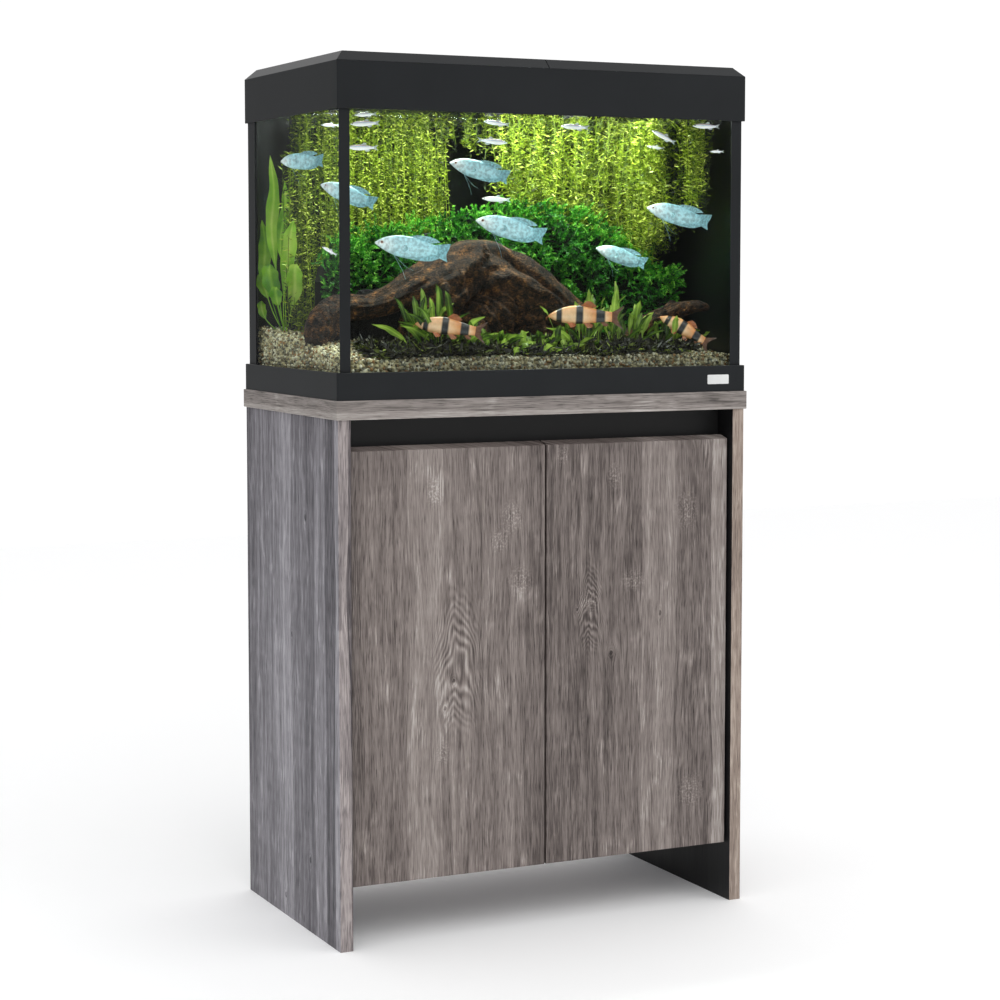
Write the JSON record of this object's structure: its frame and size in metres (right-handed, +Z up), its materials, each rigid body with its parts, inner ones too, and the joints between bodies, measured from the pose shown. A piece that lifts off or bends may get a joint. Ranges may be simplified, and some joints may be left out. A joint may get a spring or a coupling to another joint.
{
  "type": "aquarium on cabinet stand",
  "caption": "Planted glass aquarium with a lift-off hood, hinged feeding flaps and a lamp, on a grey oak cabinet with two doors.",
  "frame": {"origin": "on the floor at the centre of the footprint", "axes": "+Z up, the doors face -Y, +X is to the viewer's right"},
  "size_m": [0.616, 0.356, 1.171],
  "materials": {
    "grey_oak_board": "grey oak printed melamine, embossed matt grain",
    "black_board": "matt black melamine board",
    "black_plastic": "satin black moulded plastic",
    "bright_steel": "nickel-plated steel",
    "zinc": "die-cast zinc",
    "badge_plastic": "blank glossy white badge",
    "clear_glass": "clear float glass",
    "smoked_glass": "dark coated heater tube",
    "silicone": "black silicone rubber",
    "gravel": "mixed brown river gravel, 2 to 5 mm",
    "driftwood": "waterlogged dark root wood",
    "leaves": "green aquarium plants",
    "sponge": "coarse black filter foam",
    "red_plastic": "moulded red dial",
    "aluminium": "anodised extruded housing",
    "lens": "frosted clear lens",
    "led_board": "white circuit board with LEDs"
  },
  "bodies": {
    "cabinet": {"left_side_panel": "grey_oak_board", "right_side_panel": "grey_oak_board", "top_board": "grey_oak_board", "bottom_board": "grey_oak_board", "inner_shelf": "grey_oak_board", "front_rail": "black_board", "rear_rail": "black_board", "back_panel": "black_board", "cable_grommet": "black_plastic", "door_bumpers": "black_plastic", "magnet_catches": "black_plastic", "base_frame": "black_plastic", "tank_rim": "black_plastic", "filter_body": "black_plastic", "filter_head": "black_plastic", "heater_head": "black_plastic", "corner_trims": "black_plastic", "background_film": "black_plastic", "shelf_pins": "bright_steel", "cam_bolts": "bright_steel", "hinge_plates": "bright_steel", "hinge_arms": "bright_steel", "hinge_screws": "bright_steel", "cam_locks": "zinc", "badge": "badge_plastic", "bottom_glass": "clear_glass", "front_glass": "clear_glass", "back_glass": "clear_glass", "left_glass": "clear_glass", "right_glass": "clear_glass", "heater_tube": "smoked_glass", "silicone_seams": "silicone", "filter_cups": "silicone", "heater_clips": "silicone", "gravel_bed": "gravel", "driftwood": "driftwood", "side_root": "driftwood", "moss_mound": "leaves", "back_plants": "leaves", "tall_plant": "leaves", "front_plants": "leaves", "filter_sponge": "sponge"},
    "left_door": {"left_door": "grey_oak_board", "left_hinge_cups": "bright_steel", "left_hinge_pins": "bright_steel", "left_strike_plate": "bright_steel"},
    "right_door": {"right_door": "grey_oak_board", "right_hinge_cups": "bright_steel", "right_hinge_pins": "bright_steel", "right_strike_plate": "bright_steel"},
    "hood": {"hood_frame": "black_plastic", "flap_hinge_pins": "bright_steel", "lamp_body": "aluminium", "lamp_lens": "lens", "led_board": "led_board", "lamp_brackets": "black_plastic"},
    "left_flap": {"left_flap": "black_plastic"},
    "right_flap": {"right_flap": "black_plastic"},
    "heater_dial": {"heater_dial": "red_plastic"},
    "filter_nozzle": {"filter_nozzle": "black_plastic"}
  },
  "joints": [
    {"name": "left_door_hinge", "type": "hinge", "parent": "cabinet", "child": "left_door", "pos_m": [-0.271, -0.1575, 0.369], "axis": [0, 0, -1], "range_deg": [0, 105]},
    {"name": "right_door_hinge", "type": "hinge", "parent": "cabinet", "child": "right_door", "pos_m": [0.271, -0.1575, 0.369], "axis": [0, 0, 1], "range_deg": [0, 105]},
    {"name": "hood_lift", "type": "slide", "parent": "cabinet", "child": "hood", "axis": [0, 0, 1], "range_m": [0, 0.12]},
    {"name": "left_flap_hinge", "type": "hinge", "parent": "hood", "child": "left_flap", "pos_m": [-0.145, 0.06, 1.1675], "axis": [-1, 0, 0], "range_deg": [0, 100]},
    {"name": "right_flap_hinge", "type": "hinge", "parent": "hood", "child": "right_flap", "pos_m": [0.145, 0.06, 1.1675], "axis": [-1, 0, 0], "range_deg": [0, 100]},
    {"name": "heater_dial_turn", "type": "hinge", "parent": "cabinet", "child": "heater_dial", "pos_m": [0.196, 0.138, 1.0563], "axis": [0, 0, -1], "range_deg": [0, 270]},
    {"name": "filter_nozzle_swivel", "type": "hinge", "parent": "cabinet", "child": "filter_nozzle", "pos_m": [0.256, 0.134, 1.0503], "axis": [0, 0, 1], "range_deg": [-60, 60]}
  ]
}
